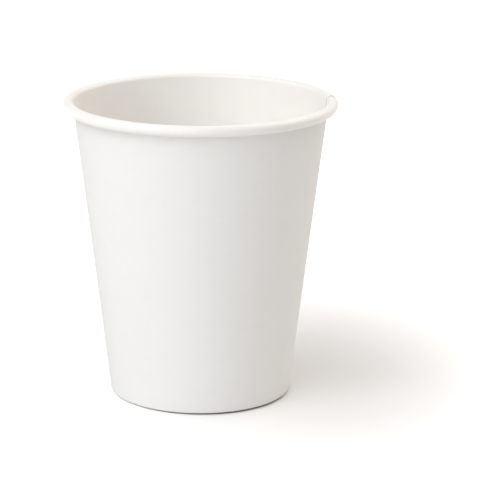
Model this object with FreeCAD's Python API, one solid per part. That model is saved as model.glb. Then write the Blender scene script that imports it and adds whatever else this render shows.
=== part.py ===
"""Paper coffee cup: a sidewall rolled from one sheet of board, and a bottom disc held in its foot.

Millimetres and degrees. Origin on the table under the middle of the cup, +Z up.
The side seam faces +X, a little towards +Y.
"""
import FreeCAD, Part
import os
from math import asin, atan2, ceil, cos, degrees, hypot, radians, sin, tan

# Overall sizes
cup_height = 87.6        # table to the top of the rim
rim_diameter = 80.0      # across the outside of the rolled rim
foot_diameter = 53.2     # across the outside of the wall, carried down to the table

# Sidewall sheet
wall_board = 0.30        # one layer of coated board
curl_diameter = 3.2      # outside of the roll, in section
tuck_turn = 140.0        # how far the sheet turns again inside its own roll
roll_gap = 0.05          # air between the roll's inner turn and the wall behind it
lap_width = 7.5          # board laid over board along the side seam
joggle_turn = 5.0        # part of the turn in which the sheet steps out over its other edge
seam_azimuth = 1.0       # where that step starts, from +X towards +Y
fold_radius = 0.25       # outside corners of the fold under the foot
flap_height = 6.2        # table to the cut edge of the folded flap, inside the foot
roll_band = 42.0         # the roll goes round in straight bands, each turned up to this much from the last
corner_band = 50.0       # the same for the small bends of the foot and the disc

# Bottom disc
disc_board = 0.28        # board of the disc and its skirt
floor_height = 8.0       # table to the face that the drink stands on
disc_bend = 0.9          # outside of the bend between disc and skirt
seal_gap = 0.02          # each side of the skirt, between the wall and the flap

# Wall line. It runs straight from the foot and is tangent to the roll. Its slope comes from both.
curl_radius = curl_diameter / 2
curl_r = rim_diameter / 2 - curl_radius
curl_z = cup_height - curl_radius
foot_to_curl_r = curl_r - foot_diameter / 2
tangent_turn = asin((curl_radius - wall_board) / hypot(foot_to_curl_r, curl_z))
wall_slope = atan2(foot_to_curl_r, curl_z) - tangent_turn


def point(r, z):
    """A point of a section, in the XZ plane."""
    return FreeCAD.Vector(r, 0, z)


def beside_wall(offset, z):
    """Point at height z on a line parallel to the wall's outside, offset outwards by that much."""
    return point(foot_diameter / 2 + offset / cos(wall_slope) + z * tan(wall_slope), z)


def bend(centre, radius, start, end, band):
    """Points round a bend, from one angle to another. Angle 0 is outwards and 90 is up."""
    bands = ceil(abs(end - start) / band)
    angles = [radians(start + (end - start) * i / bands) for i in range(bands + 1)]
    return [centre + point(radius * cos(angle), radius * sin(angle)) for angle in angles]


def roll(centre, radius, inner_end):
    """Points round the rim's roll, from its lowest one up and over to the wall.

    The outermost and the highest point are among them, so that the cup keeps its full size.
    """
    stops = (-90, 0, 90, inner_end)
    return [p for start, end in zip(stops, stops[1:]) for p in bend(centre, radius, start, end, roll_band)]


def corner(before, at, after, radius):
    """Points round the bend in a corner of two lines."""
    back = (before - at).normalize()
    ahead = (after - at).normalize()
    half = back.getAngle(ahead) / 2
    reach = radius / tan(half)
    centre = at + (back + ahead).normalize() * (radius / sin(half))
    first = at + back * reach - centre
    last = at + ahead * reach - centre
    start = degrees(atan2(first.z, first.x))
    turn = (degrees(atan2(last.z, last.x)) - start + 180) % 360 - 180
    return bend(centre, radius, start, start + turn, corner_band)


def outline(*runs):
    """Closed outline through runs of points. A point that repeats the one before it is dropped."""
    points = []
    for p in [p for run in runs for p in run]:
        if not points or p.distanceToPoint(points[-1]) > 1e-6:
            points.append(p)
    return Part.makePolygon(points + points[:1])


def sheet_section(layer):
    """Outline of the sidewall sheet, from its rolled edge down to the flap's cut edge and back.

    Layer 0 is the sheet all round the cup. Layer 1 is the outer lap, one board further out on
    the wall, so one board further in inside the roll. The fold under the foot is pressed flat,
    so both layers stand on the table.
    """
    lift = layer * wall_board
    curl_centre = point(curl_r, curl_z)
    tuck_radius = curl_radius - wall_board - roll_gap
    tuck_centre = curl_centre - point(0, curl_radius - tuck_radius)
    tuck_end = -90 - tuck_turn
    wall_side = 180 - degrees(wall_slope)
    face = curl_radius - lift
    tuck_face = tuck_radius - lift

    slot = disc_board + 2 * seal_gap
    flap_skirt_side = -(wall_board + slot + lift)
    flap_open_side = flap_skirt_side - wall_board
    wall_foot = beside_wall(lift, 0)
    flap_foot = beside_wall(flap_open_side, 0)
    flap_edge = beside_wall(flap_open_side, flap_height)

    return outline(
        bend(tuck_centre, tuck_face, tuck_end, -90, roll_band),
        roll(curl_centre, face, wall_side),
        [beside_wall(lift - wall_board, wall_board), beside_wall(flap_skirt_side, wall_board)],
        [beside_wall(flap_skirt_side, flap_height), flap_edge],
        corner(flap_edge, flap_foot, wall_foot, fold_radius),
        corner(flap_foot, wall_foot, beside_wall(lift, curl_z), fold_radius),
        roll(curl_centre, face - wall_board, wall_side)[::-1],
        bend(tuck_centre, tuck_face - wall_board, tuck_end, -90, roll_band)[::-1])


def turned(shape, azimuth):
    """Copy of a shape, turned about the cup's axis."""
    copy = shape.copy()
    copy.rotate(FreeCAD.Vector(0, 0, 0), FreeCAD.Vector(0, 0, 1), azimuth)
    return copy


def revolved(section, azimuth, turn):
    """Solid swept by a section about the cup's axis, starting at an azimuth."""
    start = Part.Face(turned(section, azimuth))
    return start.revolve(FreeCAD.Vector(0, 0, 0), FreeCAD.Vector(0, 0, 1), turn)


def make_sidewall():
    """The sheet goes once round the cup, and its end laps over its start along the side seam."""
    inner_edge = seam_azimuth + joggle_turn
    sheet = sheet_section(0)
    lap = sheet_section(1)
    round_the_cup = revolved(sheet, inner_edge, 360 - joggle_turn)
    joggle = Part.makeLoft([turned(sheet, seam_azimuth), turned(lap, inner_edge)], True, True)

    # The outer lap ends in a straight cut, as far from the inner edge at the foot as at the rim
    lap_strip = Part.makeBox(rim_diameter, lap_width, cup_height)
    turn_past_cut = 2 * degrees(lap_width / (foot_diameter / 2))
    outer_lap = revolved(lap, inner_edge, turn_past_cut).common(turned(lap_strip, inner_edge))
    return round_the_cup.fuse([joggle, outer_lap]).removeSplitter()


def make_bottom_disc():
    """Disc pressed from one piece of board, with a skirt that stands in the slot of the foot."""
    outside = -(wall_board + seal_gap)
    inside = outside - disc_board
    skirt_end = wall_board + seal_gap
    underside = floor_height - disc_board
    middle_top = point(0, floor_height)
    middle_under = point(0, underside)
    skirt_outside = beside_wall(outside, skirt_end)
    skirt_inside = beside_wall(inside, skirt_end)

    section = outline(
        [middle_top],
        corner(middle_top, beside_wall(outside, floor_height), skirt_outside, disc_bend),
        [skirt_outside, skirt_inside],
        corner(skirt_inside, beside_wall(inside, underside), middle_under, disc_bend - disc_board),
        [middle_under])
    return revolved(section, seam_azimuth, 360)


os.makedirs("parts", exist_ok=True)
for name, make in (("sidewall", make_sidewall), ("bottom_disc", make_bottom_disc)):
    shape = make()
    shape.exportStep("parts/" + name + ".step")
    print(name, shape.ShapeType, "solids", len(shape.Solids), "valid", shape.isValid(),
          "volume", round(shape.Volume, 2))
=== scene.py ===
# %% [markdown]
# # A paper coffee cup
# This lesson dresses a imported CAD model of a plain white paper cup. The real cup is made of two
# pieces of board: a sidewall that is wrapped from one flat sheet, and a bottom disc that is sealed
# into its foot. The frame is loaded first, because every piece has to stay inside it. Its box is
# kept, so that the finished cup can be compared with it at the end.

# %% Load the frame
import math

import bpy
import numpy as np
from mathutils import Matrix, Vector


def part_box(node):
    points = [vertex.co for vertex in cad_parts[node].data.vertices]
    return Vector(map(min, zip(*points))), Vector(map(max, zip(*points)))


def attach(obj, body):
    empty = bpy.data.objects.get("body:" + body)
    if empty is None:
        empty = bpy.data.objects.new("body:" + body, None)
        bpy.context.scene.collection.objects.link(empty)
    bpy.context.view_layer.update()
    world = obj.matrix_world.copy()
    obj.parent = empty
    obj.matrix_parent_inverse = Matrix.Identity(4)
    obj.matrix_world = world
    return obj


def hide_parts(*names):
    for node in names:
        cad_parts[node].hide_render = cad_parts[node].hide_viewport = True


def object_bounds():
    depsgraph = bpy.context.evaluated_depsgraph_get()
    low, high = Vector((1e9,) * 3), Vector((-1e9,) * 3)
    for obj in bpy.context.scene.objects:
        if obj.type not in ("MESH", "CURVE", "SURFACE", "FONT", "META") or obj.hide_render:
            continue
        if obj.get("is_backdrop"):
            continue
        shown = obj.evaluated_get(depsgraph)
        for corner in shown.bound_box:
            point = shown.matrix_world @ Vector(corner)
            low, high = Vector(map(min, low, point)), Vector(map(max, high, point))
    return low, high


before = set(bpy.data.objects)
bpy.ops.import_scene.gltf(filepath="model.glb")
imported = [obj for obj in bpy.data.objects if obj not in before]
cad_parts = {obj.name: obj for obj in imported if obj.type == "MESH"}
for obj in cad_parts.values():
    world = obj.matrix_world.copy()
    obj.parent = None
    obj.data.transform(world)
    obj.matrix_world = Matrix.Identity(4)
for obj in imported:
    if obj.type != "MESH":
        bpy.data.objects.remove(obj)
frame_box = [[float(value) for value in corner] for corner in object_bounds()]
for node_name in sorted(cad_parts):
    low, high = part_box(node_name)
    print(node_name, "from", [round(v * 1000, 2) for v in low],
          "to", [round(v * 1000, 2) for v in high], "mm")

# %% [markdown]
# ## Sizes of the cup
# All lengths are in metres and all turns are in radians. They are the same sizes that the solids
# were drawn with, so the finished pieces land exactly on them. The wall's slope isn't a size of its
# own. It follows from the foot, the rim and the height, because the straight wall runs tangent into
# the roll.

# %% Name the sizes
MM = 0.001
cup_height = 87.6 * MM
rim_radius = 40.0 * MM
foot_radius = 26.6 * MM
board = 0.30 * MM
curl_radius = 1.6 * MM
roll_gap = 0.05 * MM
tuck_turn = math.radians(140)
flap_height = 6.2 * MM
lap_width = 7.5 * MM
joggle_turn = math.radians(5)
seam_azimuth = math.radians(1)
disc_board = 0.28 * MM
seal_gap = 0.02 * MM
floor_height = 8.0 * MM

curl_r = rim_radius - curl_radius
curl_z = cup_height - curl_radius
tangent_turn = math.asin((curl_radius - board) / math.hypot(curl_r - foot_radius, curl_z))
wall_slope = math.atan2(curl_r - foot_radius, curl_z) - tangent_turn
inner_edge = seam_azimuth + joggle_turn
print("wall slope", round(math.degrees(wall_slope), 2), "degrees")

# %% [markdown]
# ## Bends and corners
# A sheet that is bent has two faces, and each bend is a pair of arcs about one centre. These
# helpers give the points of an arc, of a line, and of a rounded corner between two lines. They work
# in the plane of the section, where the first number is the distance from the cup's axis and the
# second is the height above the table.

# %% Points of a bend, a line and a corner
def bend(centre, radius, start, end, steps):
    angles = np.linspace(start, end, steps + 1)
    return [(centre[0] + radius * math.cos(a), centre[1] + radius * math.sin(a)) for a in angles]


def straight(first, last, steps):
    first, last = np.array(first), np.array(last)
    return [tuple(first + (last - first) * i / steps) for i in range(steps + 1)]


def corner(before, at, after, radius, steps):
    at = np.array(at)
    back = np.array(before) - at
    ahead = np.array(after) - at
    back = back / np.linalg.norm(back)
    ahead = ahead / np.linalg.norm(ahead)
    half = math.acos(float(np.dot(back, ahead))) / 2
    reach = radius / math.tan(half)
    middle = (back + ahead) / np.linalg.norm(back + ahead)
    centre = at + middle * radius / math.sin(half)
    first = at + back * reach - centre
    last = at + ahead * reach - centre
    start = math.atan2(first[1], first[0])
    turn = (math.atan2(last[1], last[0]) - start + math.pi) % (2 * math.pi) - math.pi
    return bend(centre, radius, start, start + turn, steps)


def beside_wall(offset, z):
    return (foot_radius + offset / math.cos(wall_slope) + z * math.tan(wall_slope), z)


print("wall at half height", round(beside_wall(0, cup_height / 2)[0] / MM, 2), "mm from the axis")

# %% [markdown]
# ## The sheet in section
# The sidewall is one sheet. Its top edge is tucked into the roll, the roll turns outwards over the
# rim, the wall runs straight down, and the last few millimetres are folded inwards and up under the
# foot. Both faces get the same number of points, so that the two can be joined by one row of cut
# edge.
#
# Along the side seam there are two layers. The outer one lies one board further out on the wall and
# one board further in inside the roll, and the inner one makes room for it at the fold. So the
# section is worked out three times: plain, as the layer over the seam, and as the layer under it.
# The steps are the same each time, which lets the three be mixed point by point.

# %% Work out the three states of the section
tuck_steps, roll_steps, wall_steps, fold_steps, flap_steps = 12, 36, 18, 6, 6
wall_bend, flap_bend = 0.58 * MM, 0.33 * MM      # outside of the fold's two bends
glue_line = 0.008 * MM                           # between the two layers of the seam


def join(*runs):
    points = list(runs[0])
    for run in runs[1:]:
        points += run[1:]
    return points


def sheet_faces(layer, tightened, raised):
    """Lined face and outside face, each from the tucked edge to the edge of the folded flap."""
    lift = layer * (board + glue_line)
    centre = (curl_r, curl_z)
    tuck_radius = curl_radius - board - roll_gap - tightened
    tuck_centre = (curl_r, curl_z - (curl_radius - tuck_radius))
    wall_side = math.pi - wall_slope
    down = -math.pi / 2
    flap_inside = -(board + disc_board + 2 * seal_gap + lift)
    flap_outside = flap_inside - board
    faces = []
    for depth, foot_z, flap_offset in ((0.0, raised + board, flap_inside),
                                       (board, raised, flap_outside)):
        wall_offset = lift - board + depth
        wall_foot = beside_wall(wall_offset, foot_z)
        flap_foot = beside_wall(flap_offset, foot_z)
        flap_edge = beside_wall(flap_offset, flap_height)
        roll = bend(centre, curl_radius - lift - depth, down, wall_side, roll_steps)
        first_corner = corner(roll[-1], wall_foot, flap_foot, wall_bend - board + depth,
                              fold_steps)
        second_corner = corner(wall_foot, flap_foot, flap_edge, flap_bend - board + depth,
                               fold_steps)
        faces.append(join(
            bend(tuck_centre, tuck_radius - lift - depth, down - tuck_turn, down, tuck_steps),
            roll,
            straight(roll[-1], first_corner[0], wall_steps),
            first_corner,
            straight(first_corner[-1], second_corner[0], 1),
            second_corner,
            straight(second_corner[-1], flap_edge, flap_steps)))
    return np.array(faces)


plain_state = sheet_faces(0, 0, 0)
under_state = sheet_faces(0, board + glue_line, board + glue_line)
over_state = sheet_faces(1, board + glue_line, 0)
rows = plain_state.shape[1]
print("points along each face", rows)

# %% [markdown]
# ## A carrier for the section
# Geometry Nodes read their numbers from a mesh. The plain section becomes the points of a small
# mesh, and the other two states ride on those points as vector attributes. Two more numbers go with
# them: how far along the sheet a point lies, and how much of the crimp it takes. The crimp is the
# row of fine grooves that the machine presses into the folded flap when it seals the foot.

# %% Put the section and its attributes on a mesh
def section_vectors(state):
    flat = state.reshape(-1, 2)
    return np.column_stack([flat[:, 0], np.zeros(len(flat)), flat[:, 1]])


def add_attribute(mesh, name, kind, values):
    layer = mesh.attributes.new(name, kind, "POINT")
    layer.data.foreach_set("vector" if kind == "FLOAT_VECTOR" else "value", np.ravel(values))


crimp_start, crimp_rise, crimp_fade = 0.9 * MM, 0.6 * MM, 0.5 * MM
middle = plain_state.mean(axis=0)
along = np.concatenate([[0], np.cumsum(np.linalg.norm(np.diff(middle, axis=0), axis=1))])
crimp = np.zeros((2, rows))
heights = plain_state[1][-flap_steps - 1:, 1]
from_fold = np.clip((heights - crimp_start) / crimp_rise, 0, 1)
to_edge = np.clip((flap_height - heights) / crimp_fade, 0, 1)
crimp[1, -flap_steps - 1:] = from_fold * to_edge

section_mesh = bpy.data.meshes.new("sidewall_section")
section_mesh.from_pydata([tuple(p) for p in section_vectors(plain_state)], [], [])
add_attribute(section_mesh, "over", "FLOAT_VECTOR", section_vectors(over_state))
add_attribute(section_mesh, "under", "FLOAT_VECTOR", section_vectors(under_state))
add_attribute(section_mesh, "along", "FLOAT", np.concatenate([along, along]))
add_attribute(section_mesh, "crimp", "FLOAT", crimp)
print("the sheet is", round(along[-1] / MM, 1), "mm from edge to edge")

# %% [markdown]
# ## Helpers for node trees
# Geometry trees and shader trees are wired in the same way, so a few small helpers serve both. One
# feeds a socket with either a number or another node's output, and one adds a node and feeds its
# inputs. The last two are short for the nodes that are used most: Math and Map Range.

# %% Wire nodes with short calls
def feed(tree, socket, value):
    if isinstance(value, bpy.types.NodeSocket):
        tree.links.new(value, socket)
    else:
        socket.default_value = value


def add(tree, kind, inputs=None, **settings):
    node = tree.nodes.new(kind)
    for name, value in settings.items():
        setattr(node, name, value)
    for key, value in (inputs or {}).items():
        feed(tree, node.inputs[key], value)
    return node


def math_node(tree, operation, *values):
    return add(tree, "ShaderNodeMath", dict(enumerate(values)), operation=operation).outputs[0]


def ramp(tree, value, low, high, smooth=False):
    kind = "SMOOTHSTEP" if smooth else "LINEAR"
    inputs = {"Value": value, "From Min": low, "From Max": high, "To Min": 0.0, "To Max": 1.0}
    return add(tree, "ShaderNodeMapRange", inputs, interpolation_type=kind).outputs["Result"]


print("helpers for node trees are ready")

# %% [markdown]
# ## Paper as a shader group
# Board is pressed from fibres, so even a white one is slightly cloudy, and a raking light shows a
# fine tooth. All of the cup's finishes share that, and so it is a node group, built once. Each
# material gives it its own two tints and its own roughness. Only colours, values and heights leave
# the group, and the shader stays in the material, where an export can read it.

# %% Build the paper fibre group
def build_paper_group():
    tree = bpy.data.node_groups.new("paper_fibre", "ShaderNodeTree")
    sockets = (("Position", "NodeSocketVector", None),
               ("Light tint", "NodeSocketColor", (0.93, 0.92, 0.9, 1)),
               ("Dark tint", "NodeSocketColor", (0.9, 0.89, 0.87, 1)),
               ("Cloud scale", "NodeSocketFloat", 260.0),
               ("Fibre scale", "NodeSocketFloat", 1500.0),
               ("Roughness", "NodeSocketFloat", 0.7),
               ("Roughness spread", "NodeSocketFloat", 0.1))
    for name, kind, default in sockets:
        socket = tree.interface.new_socket(name, in_out="INPUT", socket_type=kind)
        if default is not None:
            socket.default_value = default
    for name, kind in (("Colour", "NodeSocketColor"), ("Roughness", "NodeSocketFloat"),
                       ("Height", "NodeSocketFloat")):
        tree.interface.new_socket(name, in_out="OUTPUT", socket_type=kind)
    given = tree.nodes.new("NodeGroupInput").outputs
    result = tree.nodes.new("NodeGroupOutput").inputs

    cloud = add(tree, "ShaderNodeTexNoise", {
        "Vector": given["Position"], "Scale": given["Cloud scale"],
        "Detail": 3.0, "Roughness": 0.55}).outputs["Fac"]
    drawn_out = add(tree, "ShaderNodeVectorMath", {0: given["Position"], 1: (1.0, 0.35, 1.0)},
                    operation="MULTIPLY").outputs[0]
    fibre = add(tree, "ShaderNodeTexNoise", {
        "Vector": drawn_out, "Scale": given["Fibre scale"],
        "Detail": 4.0, "Roughness": 0.6, "Distortion": 0.6}).outputs["Fac"]
    cloud_part = math_node(tree, "MULTIPLY", cloud, 0.6)
    fibre_part = math_node(tree, "MULTIPLY", fibre, 0.4)
    tone = ramp(tree, math_node(tree, "ADD", cloud_part, fibre_part), 0.36, 0.64, smooth=True)
    colour = add(tree, "ShaderNodeMix", data_type="RGBA")
    feed(tree, colour.inputs[0], tone)
    feed(tree, colour.inputs[6], given["Dark tint"])
    feed(tree, colour.inputs[7], given["Light tint"])
    feed(tree, result["Colour"], colour.outputs[2])
    from_middle = math_node(tree, "SUBTRACT", fibre, 0.5)
    swing = math_node(tree, "MULTIPLY", from_middle, given["Roughness spread"])
    feed(tree, result["Roughness"], math_node(tree, "ADD", given["Roughness"], swing))
    soft_part = math_node(tree, "MULTIPLY", cloud, 0.5)
    feed(tree, result["Height"], math_node(tree, "ADD", fibre, soft_part))
    return tree


paper_group = build_paper_group()
print("paper group has", len(paper_group.nodes), "nodes")

# %% [markdown]
# ## Three faces of the same board
# The outside of the sheet is bare, so it is matt. The inside is lined with a thin film against the
# drink, and it has a soft satin shine. The cut edge shows raw fibre, which is rougher and a little
# warmer. On the sheet the pattern follows the flat blank through a UV map, as real grain would. The
# disc is flat, so there it can read the object's own coordinates.

# %% Make the finishes
tooth_depth = 0.03 * MM


def build_paper(name, light, dark, roughness, spread, specular, tooth, uv_map=None):
    material = bpy.data.materials.new(name)
    material.use_nodes = True
    tree = material.node_tree
    shader = tree.nodes["Principled BSDF"]
    if uv_map:
        place = add(tree, "ShaderNodeUVMap", uv_map=uv_map).outputs["UV"]
    else:
        place = add(tree, "ShaderNodeTexCoord").outputs["Object"]
    paper = add(tree, "ShaderNodeGroup", node_tree=paper_group)
    for key, value in {"Position": place, "Light tint": (*light, 1), "Dark tint": (*dark, 1),
                       "Roughness": roughness, "Roughness spread": spread}.items():
        feed(tree, paper.inputs[key], value)
    bump = add(tree, "ShaderNodeBump", {"Strength": tooth, "Distance": tooth_depth,
                                        "Height": paper.outputs["Height"]})
    feed(tree, shader.inputs["Base Color"], paper.outputs["Colour"])
    feed(tree, shader.inputs["Roughness"], paper.outputs["Roughness"])
    feed(tree, shader.inputs["Normal"], bump.outputs["Normal"])
    shader.inputs["Specular IOR Level"].default_value = specular
    shader.inputs["IOR"].default_value = 1.5
    return material


board_faces = {
    "bare": dict(light=(0.932, 0.918, 0.893), dark=(0.921, 0.907, 0.881),
                 roughness=0.8, spread=0.12, specular=0.2, tooth=0.3),
    "lined": dict(light=(0.953, 0.934, 0.902), dark=(0.944, 0.924, 0.891),
                  roughness=0.42, spread=0.08, specular=0.5, tooth=0.12),
    "cut": dict(light=(0.88, 0.86, 0.82), dark=(0.8, 0.775, 0.73),
                roughness=0.9, spread=0.1, specular=0.2, tooth=0.5),
}
bare_board, lined_board, cut_board = (
    build_paper(face + "_board", uv_map="blank", **values) for face, values in board_faces.items())
disc_bare, disc_lined, disc_cut = (
    build_paper("disc_" + face, **values) for face, values in board_faces.items())
print("finishes:", ", ".join(board_faces), "for the sheet and for the disc")

# %% [markdown]
# ## Wrapping the blank
# A cup machine starts with a flat blank and wraps it round a cone. The node tree does the same. A
# mesh cube with many points across and only two through its thickness is the flat blank. Its
# columns run round the cup and its rows run along the section. Each point looks up where its row
# lies in the three states of the section, mixes them by how near the seam is, and is then turned
# about the axis by its column. So the board keeps its thickness everywhere, and its inside, outside
# and cut edges are known from the flat blank, before anything is bent.

# %% Start the tree and name its inputs
wrap = bpy.data.node_groups.new("wrap_sidewall", "GeometryNodeTree")
wrap.interface.new_socket("Geometry", in_out="INPUT", socket_type="NodeSocketGeometry")
teeth = 84
wrap_sizes = {
    "Rows": ("NodeSocketInt", rows),
    "Columns round": ("NodeSocketInt", teeth * 5),
    "Columns in joggle": ("NodeSocketInt", 10),
    "Columns in lap": ("NodeSocketInt", 8),
    "Inner edge": ("NodeSocketFloat", inner_edge),
    "Joggle turn": ("NodeSocketFloat", joggle_turn),
    "Lap width": ("NodeSocketFloat", lap_width),
    "Crimp teeth": ("NodeSocketFloat", float(teeth)),
    "Crimp depth": ("NodeSocketFloat", 0.1 * MM),
    "Wave depth": ("NodeSocketFloat", 0.05 * MM),
    "Wave seed": ("NodeSocketFloat", 3.0),
}
for socket_name, (socket_kind, socket_default) in wrap_sizes.items():
    new_input = wrap.interface.new_socket(socket_name, in_out="INPUT", socket_type=socket_kind)
    new_input.default_value = socket_default
wrap.interface.new_socket("Geometry", in_out="OUTPUT", socket_type="NodeSocketGeometry")
given = wrap.nodes.new("NodeGroupInput").outputs
result = wrap.nodes.new("NodeGroupOutput").inputs
print("inputs:", ", ".join(wrap_sizes))

# %% [markdown]
# ## The flat blank
# The blank is a cube primitive one unit wide. The integer inputs set how many points it has across,
# and every point can tell its own column and row from where it lies in the cube.

# %% Make the blank and number its points
def calc(operation, *values):
    return math_node(wrap, operation, *values)


joggle_start = given["Columns round"]
lap_start = calc("ADD", joggle_start, given["Columns in joggle"])
columns = calc("ADD", lap_start, given["Columns in lap"])
blank = add(wrap, "GeometryNodeMeshCube", {
    "Size": (1.0, 1.0, 1.0), "Vertices X": calc("ADD", columns, 1.0),
    "Vertices Y": given["Rows"], "Vertices Z": 2})
flat_position = add(wrap, "GeometryNodeInputPosition").outputs[0]
unit = add(wrap, "ShaderNodeSeparateXYZ", {0: flat_position}).outputs
column = calc("ROUND", calc("MULTIPLY", calc("ADD", unit["X"], 0.5), columns))
last_row = calc("SUBTRACT", given["Rows"], 1.0)
row = calc("ROUND", calc("MULTIPLY", calc("ADD", unit["Y"], 0.5), last_row))
outside = calc("LESS_THAN", unit["Z"], 0.0)
section_index = calc("ADD", row, calc("MULTIPLY", outside, given["Rows"]))
print("the blank's columns and rows are numbered")

# %% [markdown]
# ## Where each column goes
# Most columns go evenly round the cup. The next few make the joggle, the short slanted step by
# which the sheet climbs over its own first edge. The last ones are the lap. Its end is a straight
# cut, which lies as far from the inner edge at the foot as at the rim, so there the turn depends on
# the radius.

# %% Turn columns into azimuths
under_full, under_gone = 1.1, 1.5                # in lap widths past the inner edge
part_round = ramp(wrap, column, 0.0, joggle_start)
part_joggle = ramp(wrap, column, joggle_start, lap_start)
part_lap = ramp(wrap, column, lap_start, columns)
turn_round = calc("MULTIPLY", part_round, calc("SUBTRACT", 2 * math.pi, given["Joggle turn"]))
turn_joggle = calc("MULTIPLY", part_joggle, given["Joggle turn"])
sheet_turn = calc("ADD", turn_round, turn_joggle)
over_weight = ramp(wrap, part_joggle, 0.0, 1.0, smooth=True)
lap_turn = calc("DIVIDE", given["Lap width"], foot_radius)
out_of_lap = ramp(wrap, turn_round, calc("MULTIPLY", lap_turn, under_full),
                  calc("MULTIPLY", lap_turn, under_gone), smooth=True)
under_weight = calc("SUBTRACT", 1.0, out_of_lap)
print("round, joggle and lap are laid out")

# %% [markdown]
# ## Look up and mix the section
# Sample Index reads the three states from the section mesh. The plain state is mixed towards the
# outer layer by one weight and towards the inner layer by the other. The two never act on the same
# column.

# %% Place each point in the section
def named(name, kind):
    return add(wrap, "GeometryNodeInputNamedAttribute", {"Name": name}, data_type=kind).outputs[0]


def sample(name, kind="FLOAT_VECTOR"):
    value = flat_position if name == "position" else named(name, kind)
    inputs = {"Geometry": given["Geometry"], "Value": value, "Index": section_index}
    return add(wrap, "GeometryNodeSampleIndex", inputs, data_type=kind, domain="POINT").outputs[0]


def mix_points(weight, first, second):
    node = add(wrap, "ShaderNodeMix", data_type="VECTOR")
    feed(wrap, node.inputs[0], weight)
    feed(wrap, node.inputs[4], first)
    feed(wrap, node.inputs[5], second)
    return node.outputs[1]


placed = mix_points(under_weight, sample("position"), sample("under"))
placed = mix_points(over_weight, placed, sample("over"))
placed = add(wrap, "ShaderNodeSeparateXYZ", {0: placed}).outputs
print("the section's states are mixed")

# %% [markdown]
# ## Crimp and waves
# The crimp presses rounded grooves into the open face of the folded flap. A cosine of the azimuth
# gives one groove for each tooth of the tool. The wall also isn't quite true: board that is wrapped
# and sealed springs back by a few hundredths of a millimetre, which shows as soft changes in its
# shading. A slow noise over height and azimuth moves both faces together, and fades out at the foot
# and the rim, where the fold and the roll hold the wall round.

# %% Press the crimp and let the wall wave
def combine(x, y, z=0.0):
    return add(wrap, "ShaderNodeCombineXYZ", {0: x, 1: y, 2: z}).outputs[0]


tooth_phase = calc("MULTIPLY", sheet_turn, given["Crimp teeth"])
groove = calc("MULTIPLY", calc("SUBTRACT", 1.0, calc("COSINE", tooth_phase)), 0.5)
groove = calc("POWER", groove, 1.5)
crimp_depth = calc("MULTIPLY", sample("crimp", "FLOAT"), given["Crimp depth"])
pressed = calc("MULTIPLY", crimp_depth, groove)

waves_upwards = 18.0
around = combine(calc("COSINE", sheet_turn), calc("SINE", sheet_turn),
                 calc("MULTIPLY", placed["Z"], waves_upwards))
slow_noise = add(wrap, "ShaderNodeTexNoise", {
    "Vector": around, "W": given["Wave seed"], "Scale": 1.3, "Detail": 1.0},
    noise_dimensions="4D").outputs[0]
above_foot = ramp(wrap, placed["Z"], 12 * MM, 30 * MM, smooth=True)
below_rim = calc("SUBTRACT", 1.0, ramp(wrap, placed["Z"], 60 * MM, 80 * MM, smooth=True))
wave = calc("MULTIPLY", calc("MULTIPLY", slow_noise, given["Wave depth"]),
            calc("MULTIPLY", above_foot, below_rim))
radius = calc("SUBTRACT", calc("ADD", placed["X"], pressed), wave)
print("crimp and waves are set")

# %% [markdown]
# ## Turn about the axis
# Now each point has a radius, a height and a turn. The lap's share of the turn comes from its
# straight cut: the sine of that turn is the distance from the inner edge, divided by the radius.

# %% Wrap the points round the axis
from_edge = calc("MULTIPLY", part_lap, given["Lap width"])
turn_lap = calc("ARCSINE", calc("DIVIDE", from_edge, radius))
azimuth = calc("ADD", calc("ADD", given["Inner edge"], sheet_turn), turn_lap)
wrapped = combine(calc("MULTIPLY", radius, calc("COSINE", azimuth)),
                  calc("MULTIPLY", radius, calc("SINE", azimuth)), placed["Z"])
print("points are wrapped")

# %% [markdown]
# ## Faces, edges and finishes
# The flat blank knows its sides. A face that looks up is the lined side, one that looks down is the
# bare outside, and the rest are cut edges. That is stored before the points move. The UV map is
# stored at the same moment: it holds the place on the flat blank, in metres. The points round the
# border of the blank are marked as well, because the edges between them are to stay sharp.

# %% Store the sides, the flat place and the border
def step(geometry, kind, inputs=None, **settings):
    """Pass the geometry through one more node."""
    return add(wrap, kind, {"Geometry": geometry, **(inputs or {})}, **settings).outputs[0]


def store(geometry, name, kind, domain, value):
    return step(geometry, "GeometryNodeStoreNamedAttribute", {"Name": name, "Value": value},
                data_type=kind, domain=domain)


def at_either_end(value, last):
    past_end = calc("GREATER_THAN", value, calc("SUBTRACT", last, 0.5))
    return calc("MAXIMUM", calc("LESS_THAN", value, 0.5), past_end)


normal = add(wrap, "GeometryNodeInputNormal").outputs[0]
normal_z = add(wrap, "ShaderNodeSeparateXYZ", {0: normal}).outputs["Z"]
geometry = store(blank.outputs["Mesh"], "side", "FLOAT", "FACE", normal_z)
mean_radius = foot_radius * 1.3
flat_turn = calc("ADD", sheet_turn, calc("MULTIPLY", part_lap, lap_turn))
flat_place = combine(calc("MULTIPLY", flat_turn, mean_radius), sample("along", "FLOAT"))
geometry = store(geometry, "blank", "FLOAT2", "CORNER", flat_place)
on_border = calc("ADD", at_either_end(row, last_row), at_either_end(column, columns))
geometry = store(geometry, "border", "BOOLEAN", "POINT", calc("GREATER_THAN", on_border, 0.5))
print("sides, flat place and border are stored")

# %% [markdown]
# ## Bend the blank and give the finishes
# Now the points move to their places. The faces are shaded smooth, and the border's edges are made
# sharp, so that the shading doesn't roll over the thin cut edge. The tree ends in Realize Instances
# and Set Material, because an export drops instances. Every face gets the cut edge's finish first,
# and the two broad sides then get their own.

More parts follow.
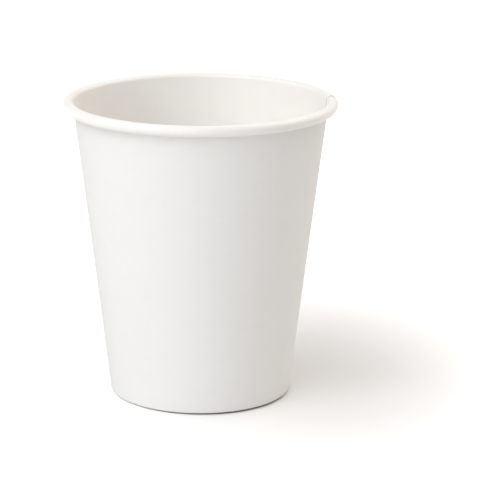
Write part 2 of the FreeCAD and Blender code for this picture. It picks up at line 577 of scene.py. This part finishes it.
# %% Move the points and finish the tree
geometry = step(geometry, "GeometryNodeSetPosition", {"Position": wrapped})
geometry = step(geometry, "GeometryNodeSetShadeSmooth", {"Shade Smooth": True}, domain="FACE")
geometry = step(geometry, "GeometryNodeSetShadeSmooth",
                {"Selection": named("border", "BOOLEAN"), "Shade Smooth": False}, domain="EDGE")
geometry = step(geometry, "GeometryNodeRealizeInstances")
side = named("side", "FLOAT")
geometry = step(geometry, "GeometryNodeSetMaterial", {"Material": cut_board})
for selection, finish in ((calc("GREATER_THAN", side, 0.5), lined_board),
                          (calc("LESS_THAN", side, -0.5), bare_board)):
    geometry = step(geometry, "GeometryNodeSetMaterial",
                    {"Selection": selection, "Material": finish})
feed(wrap, result["Geometry"], geometry)
print("the wrapping tree has", len(wrap.nodes), "nodes")

# %% [markdown]
# ## From the tree to a plain mesh
# The inputs of a modifier are set by the identifier of each socket, before the object is evaluated
# for the first time. The evaluated result is copied to a mesh of its own, and the modifier goes.
# What is left is an ordinary mesh that any exporter can read. A signed volume tells whether its
# faces point outwards, and it should be close to the area of the blank times the thickness of the
# board.

# %% Evaluate the tree and keep its mesh
def new_object(name, mesh):
    piece = bpy.data.objects.new(name, mesh)
    bpy.context.scene.collection.objects.link(piece)
    return piece


def apply_tree(piece, tree, values):
    modifier = piece.modifiers.new("shape", "NODES")
    modifier.node_group = tree
    for item in tree.interface.items_tree:
        if item.in_out == "INPUT" and item.name in values:
            modifier[item.identifier] = values[item.name][1]
    evaluated = piece.evaluated_get(bpy.context.evaluated_depsgraph_get())
    made = bpy.data.meshes.new_from_object(evaluated)
    piece.modifiers.remove(modifier)
    piece.data = made
    made.name = piece.name
    return made


def drop_empty_slots(mesh):
    """The tree starts from a mesh with no finish, and that leaves an empty first slot."""
    indices = np.zeros(len(mesh.polygons), np.int32)
    mesh.polygons.foreach_get("material_index", indices)
    kept = [i for i, finish in enumerate(mesh.materials) if finish]
    finishes = [mesh.materials[i] for i in kept]
    new_index = np.zeros(len(mesh.materials), np.int32)
    new_index[kept] = np.arange(len(kept))
    mesh.materials.clear()
    for finish in finishes:
        mesh.materials.append(finish)
    mesh.polygons.foreach_set("material_index", new_index[indices])


def signed_volume(mesh):
    mesh.calc_loop_triangles()
    points = np.zeros(len(mesh.vertices) * 3)
    mesh.vertices.foreach_get("co", points)
    points = points.reshape(-1, 3)
    corners = np.zeros(len(mesh.loop_triangles) * 3, int)
    mesh.loop_triangles.foreach_get("vertices", corners)
    a, b, c = (points[corners.reshape(-1, 3)[:, i]] for i in range(3))
    return float((a * np.cross(b, c)).sum() / 6)


wrapped_sheet = new_object("wrapped_sidewall", section_mesh)
sheet_mesh = apply_tree(wrapped_sheet, wrap, wrap_sizes)
drop_empty_slots(sheet_mesh)
print("sidewall volume", round(signed_volume(sheet_mesh) / MM ** 3, 1), "mm3")
print("triangles", len(sheet_mesh.loop_triangles))
for index, finish in enumerate(sheet_mesh.materials):
    print(finish.name, sum(p.material_index == index for p in sheet_mesh.polygons), "faces")

# %% [markdown]
# ## The bottom disc
# The disc is punched as a flat round and drawn into a shallow cap. Its skirt has less room than the
# flat round had, so the spare board gathers in fine pleats round the bend. The section is turned
# about the axis in steps, and the pleats are added on the way: they only ever pull the board
# inwards and down, away from the wall. Under the seam the skirt ends a little higher, because the
# folded layers there are one board thicker.

# %% Draw the section of the disc
disc_outside = -(board + seal_gap)
disc_inside = disc_outside - disc_board
skirt_end = wall_bend + seal_gap
underside = floor_height - disc_board
disc_bend = 0.9 * MM
bend_steps, skirt_steps, flat_steps = 8, 6, 10
end_outside = beside_wall(disc_outside, skirt_end)
end_inside = beside_wall(disc_inside, skirt_end)
outer_bend = corner((0, floor_height), beside_wall(disc_outside, floor_height), end_outside,
                    disc_bend, bend_steps)
inner_bend = corner(end_inside, beside_wall(disc_inside, underside), (0, underside),
                    disc_bend - disc_board, bend_steps)
disc_top = straight((0.0, floor_height), outer_bend[0], flat_steps) + outer_bend[1:]
skirt_out = straight(outer_bend[-1], end_outside, skirt_steps)[1:]
skirt_in = straight(end_inside, inner_bend[0], skirt_steps)
disc_under = inner_bend[1:] + straight(inner_bend[-1], (0.0, underside), flat_steps)[1:]
disc_section = np.array(disc_top + skirt_out + skirt_in + disc_under)
first_under = len(disc_top + skirt_out)
print("disc section has", len(disc_section), "points")

# %% [markdown]
# ## Pleats round the bend
# Each pleat is a soft dent. Their spacing comes from a sum of a few waves of different counts, so
# they don't look like a gear. A mask keeps them near the bend: it fades out towards the flat floor
# of the cup and again where the skirt goes down into the slot of the foot.

# %% Turn the section and gather the pleats
disc_columns = 288
disc_azimuths = seam_azimuth + np.arange(disc_columns) * 2 * math.pi / disc_columns
deepest_pleat = 0.07 * MM
pleat_reach = 3.0 * MM                           # from the bend towards the middle of the disc
pleat_waves = ((48, 1.0, 0.0), (31, 0.6, 1.3), (67, 0.5, 0.4))    # count, size and phase


def pleat_depth(azimuths):
    waves = sum(size * np.sin(count * azimuths + phase) for count, size, phase in pleat_waves)
    return np.clip(0.5 + waves / 3.4, 0, 1) ** 2


def smooth_between(value, low, high):
    t = np.clip((value - low) / (high - low), 0, 1)
    return t * t * (3 - 2 * t)


def turn_disc(section):
    rings = section[1:-1]
    r, z = rings[:, 0][:, None], rings[:, 1][:, None]
    bend_r = beside_wall(disc_outside, floor_height)[0] - disc_bend
    above_flap = smooth_between(z, flap_height + 0.2 * MM, underside - 0.3 * MM)
    near_bend = smooth_between(r, bend_r - pleat_reach, bend_r) * above_flap
    depth = deepest_pleat * pleat_depth(disc_azimuths)[None, :] * near_bend
    past_edge = (disc_azimuths - inner_edge) % (2 * math.pi)
    lap = lap_width / foot_radius
    under_lap = smooth_between(past_edge, lap * under_gone, lap * under_full)
    in_joggle = smooth_between(past_edge, 2 * math.pi - joggle_turn, 2 * math.pi)
    under_lap = np.maximum(under_lap, in_joggle)
    raise_end = (board + glue_line) * under_lap[None, :] * smooth_between(z, 2.0 * MM, skirt_end)
    slope = math.tan(wall_slope)
    radius = r - depth + raise_end * slope
    height = z - depth + raise_end
    x, y = radius * np.cos(disc_azimuths), radius * np.sin(disc_azimuths)
    return np.stack([x, y, height], axis=-1).reshape(-1, 3)


ring_points = turn_disc(disc_section)
deepest = deepest_pleat * float(pleat_depth(disc_azimuths).max())
print("the deepest pleat is", round(deepest / MM, 3), "mm")

# %% [markdown]
# ## Skin of the disc
# The rings are joined with quads, and each centre is closed with a fan of triangles to a single
# point. The faces know their row, so the lined top, the bare underside and the cut end of the skirt
# each get their own finish.

# %% Join the rings and give the finishes
def skin_rings(ring_count, columns_round):
    top, bottom = ring_count * columns_round, ring_count * columns_round + 1
    faces, row_of_face = [], []
    for column_index in range(columns_round):
        beside = (column_index + 1) % columns_round
        faces.append((top, column_index, beside))
        row_of_face.append(0)
        for ring in range(ring_count - 1):
            a, b = ring * columns_round + column_index, ring * columns_round + beside
            faces.append((a, a + columns_round, b + columns_round, b))
            row_of_face.append(ring + 1)
        last = (ring_count - 1) * columns_round
        faces.append((last + column_index, bottom, last + beside))
        row_of_face.append(ring_count)
    return faces, row_of_face


ring_count = len(disc_section) - 2
disc_faces, disc_rows = skin_rings(ring_count, disc_columns)
disc_points = np.vstack([ring_points, [[0, 0, floor_height]], [[0, 0, underside]]])
disc_mesh = bpy.data.meshes.new("pressed_disc")
disc_mesh.from_pydata([tuple(p) for p in disc_points], [], disc_faces)
for finish in (disc_lined, disc_bare, disc_cut):
    disc_mesh.materials.append(finish)
finish_index = [0 if r < first_under - 1 else 2 if r == first_under - 1 else 1 for r in disc_rows]
disc_mesh.polygons.foreach_set("material_index", finish_index)
disc_mesh.polygons.foreach_set("use_smooth", [True] * len(disc_faces))
disc_mesh.update()
end_rings = {first_under - 2, first_under - 1}
rings_of_edges = [[vertex // disc_columns for vertex in edge.vertices] for edge in disc_mesh.edges]
sharp = [first == second and first in end_rings for first, second in rings_of_edges]
disc_mesh.attributes.new("sharp_edge", "BOOLEAN", "EDGE").data.foreach_set("value", sharp)
pressed_disc = new_object("pressed_disc", disc_mesh)
print("disc volume", round(signed_volume(disc_mesh) / MM ** 3, 1), "mm3")
print("triangles", len(disc_mesh.loop_triangles))

# %% [markdown]
# ## Hand the pieces to the frame
# The cup has nothing that moves, so both pieces ride on the one body. Each stands for the plain
# solid of the same piece, which stays for collision and isn't shown.

# %% Ride on the body and stand for the solids
for piece, node_name, slot_name in ((wrapped_sheet, "sidewall", "wall_board"),
                                    (pressed_disc, "bottom_disc", "disc_board")):
    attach(piece, "root")
    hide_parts(node_name)
    print(piece.name, "stands for", node_name)

# %% [markdown]
# ## Floor and background
# The background is plain white, and only the soft shadow of the cup shows on it. The floor is a
# pale satin sheet that the lamps light like anything else. For the camera it also glows faintly,
# just enough to bring its open parts up to white, so the shadow stays. The lamps stand near, so
# their light falls off away from the cup, and there the glow rises to make up for it. It is weakest
# in an oval over the shadow beside the foot, so that shadow is partly painted shadow, darker than
# the lamps alone make it. There is none under the cup, so the dark line under the foot is partly
# painted shade. The glow is switched by the Light Path node, so it sends no light onto the cup.
#
# A folded foot touches a table only here and there, and the gap shows as a dark line, thin on the
# left of the photograph and stronger on the right, because that cup doesn't stand quite level. Here
# the cup has to stay where its solids are, so the floor lies a fraction of a millimetre under it
# and leans instead. The light in that gap has bounced off the board many times, which turns it
# warm. A path tracer stops after a few bounces, so the floor under the cup gets a warmer colour to
# stand in for it.

# %% Lay the floor
def seen_rays(tree):
    """1 for the rays that show the background: to the camera, in gloss and through glass."""
    path = add(tree, "ShaderNodeLightPath").outputs
    mirrored = math_node(tree, "MAXIMUM", path["Is Glossy Ray"], path["Is Transmission Ray"])
    return math_node(tree, "MAXIMUM", path["Is Camera Ray"], mirrored)


full_glow_at = 4.5                               # times the oval's half size


def build_floor_material(open_colour, painted_bounce_colour, glow_in_shadow_oval, far_glow, middle, half_size):
    material = bpy.data.materials.new("studio_floor")
    material.use_nodes = True
    tree = material.node_tree
    sheet = tree.nodes["Principled BSDF"]
    sheet.inputs["Roughness"].default_value = 0.55
    place = add(tree, "ShaderNodeTexCoord").outputs["Object"]
    from_axis = add(tree, "ShaderNodeVectorMath", {0: place}, operation="LENGTH").outputs["Value"]
    # Painted shade and bounce light: under the cup the floor gets no glow, which darkens the gap
    # under the foot,
    is_open = ramp(tree, from_axis, foot_radius - 1.0 * MM, foot_radius, smooth=True)
    # and a warmer colour that stands in for light bounced in that gap.
    colour = add(tree, "ShaderNodeMix", data_type="RGBA")
    for socket, value in ((0, is_open), (6, (*painted_bounce_colour, 1)), (7, (*open_colour, 1))):
        feed(tree, colour.inputs[socket], value)
    feed(tree, sheet.inputs["Base Color"], colour.outputs[2])
    # Painted shadow: the glow is weakest in this oval over the cup's shadow beside the foot, which
    # darkens that shadow.
    oval = add(tree, "ShaderNodeVectorMath", {0: place, 1: middle}, operation="SUBTRACT")
    oval = add(tree, "ShaderNodeVectorMath", {0: oval.outputs[0], 1: half_size}, operation="DIVIDE")
    oval = add(tree, "ShaderNodeVectorMath", {0: oval.outputs[0]}, operation="LENGTH")
    away = ramp(tree, oval.outputs["Value"], 0.0, full_glow_at, smooth=True)
    rise = math_node(tree, "MULTIPLY", away, far_glow - glow_in_shadow_oval)
    glow = math_node(tree, "MULTIPLY", math_node(tree, "ADD", rise, glow_in_shadow_oval), is_open)
    glow = math_node(tree, "MULTIPLY", seen_rays(tree), glow)
    light = add(tree, "ShaderNodeEmission", {"Color": (1, 1, 1, 1), "Strength": glow})
    both = add(tree, "ShaderNodeAddShader", {0: sheet.outputs[0], 1: light.outputs[0]})
    feed(tree, tree.nodes["Material Output"].inputs["Surface"], both.outputs[0])
    return material


floor_mesh = bpy.data.meshes.new("floor")
half, left_gap, right_gap = 4.0, 0.2 * MM, 0.6 * MM
lean = (right_gap - left_gap) / (2 * foot_radius)
floor_corners = [(x, y, -(left_gap + right_gap) / 2 - lean * x)
                 for x, y in ((-half, -half), (half, -half), (half, half), (-half, half))]
floor_mesh.from_pydata(floor_corners, [], [(0, 1, 2, 3)])
floor = new_object("floor", floor_mesh)
# The second colour is the painted warm bounce light under the cup; the oval lies over the cup's
# shadow.
floor_mesh.materials.append(build_floor_material((0.79, 0.79, 0.79), (0.79, 0.66, 0.52), 0.06, 0.8,
                                                 (0.03, 0.005, 0), (0.03, 0.045, 1)))
floor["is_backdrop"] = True
print("the floor leans by", round(math.degrees(lean), 2), "degrees")

# %% [markdown]
# ## Light
# Three large soft lamps stand round the cup, as softboxes would. Two of them make the lit side and
# the soft shadow, one from the left and one lower down from the front. They are very slightly blue,
# which keeps the lit paper neutral. The third is warmer, stands at the back on the right and keeps
# the shaded side open. The world adds a weak even light. Together they stay just under the level at
# which the top of the rolled rim would clip, so the rim still shows against the white floor.

# %% Set the lamps and the world
def softbox(name, azimuth, elevation, energy, colour, distance=1.6, size=1.7, target=(0, 0, 0.04)):
    data = bpy.data.lights.new(name, "AREA")
    data.shape = "DISK"
    data.size = size
    data.energy = energy
    data.color = colour
    lamp = bpy.data.objects.new(name, data)
    bpy.context.scene.collection.objects.link(lamp)
    turn, rise = math.radians(azimuth), math.radians(elevation)
    direction = Vector((math.cos(rise) * math.cos(turn), math.cos(rise) * math.sin(turn),
                        math.sin(rise)))
    lamp.location = Vector(target) + distance * direction
    lamp.rotation_euler = (-direction).to_track_quat("-Z", "Y").to_euler()
    return lamp


cool_white, warm_white = (0.973, 0.987, 1.0), (1.0, 0.9, 0.79)
left_key = softbox("left_key", -165, 50, 9.7, cool_white)
front_key = softbox("front_key", -120, 35, 14.2, cool_white)
warm_fill = softbox("warm_fill", 30, 40, 14.9, warm_white)

world = bpy.data.worlds.new("studio_world")
bpy.context.scene.world = world
world.use_nodes = True
world_tree = world.node_tree
world_tree.nodes.remove(world_tree.nodes["Background"])
ambient = add(world_tree, "ShaderNodeBackground", {
    "Color": (0.95, 0.96, 1.0, 1), "Strength": 0.215})
white = add(world_tree, "ShaderNodeBackground", {"Color": (1, 1, 1, 1), "Strength": 1.0})
chosen = add(world_tree, "ShaderNodeMixShader", {
    0: seen_rays(world_tree), 1: ambient.outputs[0], 2: white.outputs[0]})
feed(world_tree, world_tree.nodes["World Output"].inputs["Surface"], chosen.outputs[0])
bpy.context.scene.view_settings.view_transform = "Standard"
for lamp in (left_key, front_key, warm_fill):
    print(lamp.name, "at", [round(v, 2) for v in lamp.location], lamp.data.energy, "W")

# %% [markdown]
# ## Camera
# The camera stands in front of the cup and looks slightly down, so that the rim opens as a flat
# oval. Its place and its lens were worked out from the outline of the cup in the photograph: the
# oval of the rim gives the height of the view, and the taper from rim to foot gives the distance.
# The picture is 480 pixels wide, so the lens is the focal length in pixels, times the sensor's
# width, over 480.

# %% Place the camera
picture_width, focal_pixels = 480, 2348.6
yaw, pitch, roll_angle = math.radians(0.997), math.radians(15.06), math.radians(0.36)
camera_place = (0, -668.9 * MM, 224.9 * MM)
forward = Vector((math.sin(yaw) * math.cos(pitch), math.cos(yaw) * math.cos(pitch),
                  -math.sin(pitch)))
level = Vector((math.cos(yaw), -math.sin(yaw), 0))
upright = level.cross(forward)
across = level * math.cos(roll_angle) + upright * math.sin(roll_angle)
upwards = upright * math.cos(roll_angle) - level * math.sin(roll_angle)
camera_data = bpy.data.cameras.new("camera")
camera_data.sensor_width = 36.0
camera_data.lens = focal_pixels * camera_data.sensor_width / picture_width
camera = bpy.data.objects.new("camera", camera_data)
bpy.context.scene.collection.objects.link(camera)
turned = Matrix((across, upwards, -forward)).transposed().to_4x4()
camera.matrix_world = Matrix.Translation(camera_place) @ turned
bpy.context.scene.camera = camera
print("lens", round(camera_data.lens, 1), "mm")

# %% [markdown]
# ## The size of the cup
# The finished cup has to be as large as the model that it dresses, so both boxes are printed.

# %% Print the frame's box and the cup's box
cup_box = [[float(value) for value in box_corner] for box_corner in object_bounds()]
for label, box in (("frame", frame_box), ("cup", cup_box)):
    print(label, [[round(v * 1000, 3) for v in box_corner] for box_corner in box])
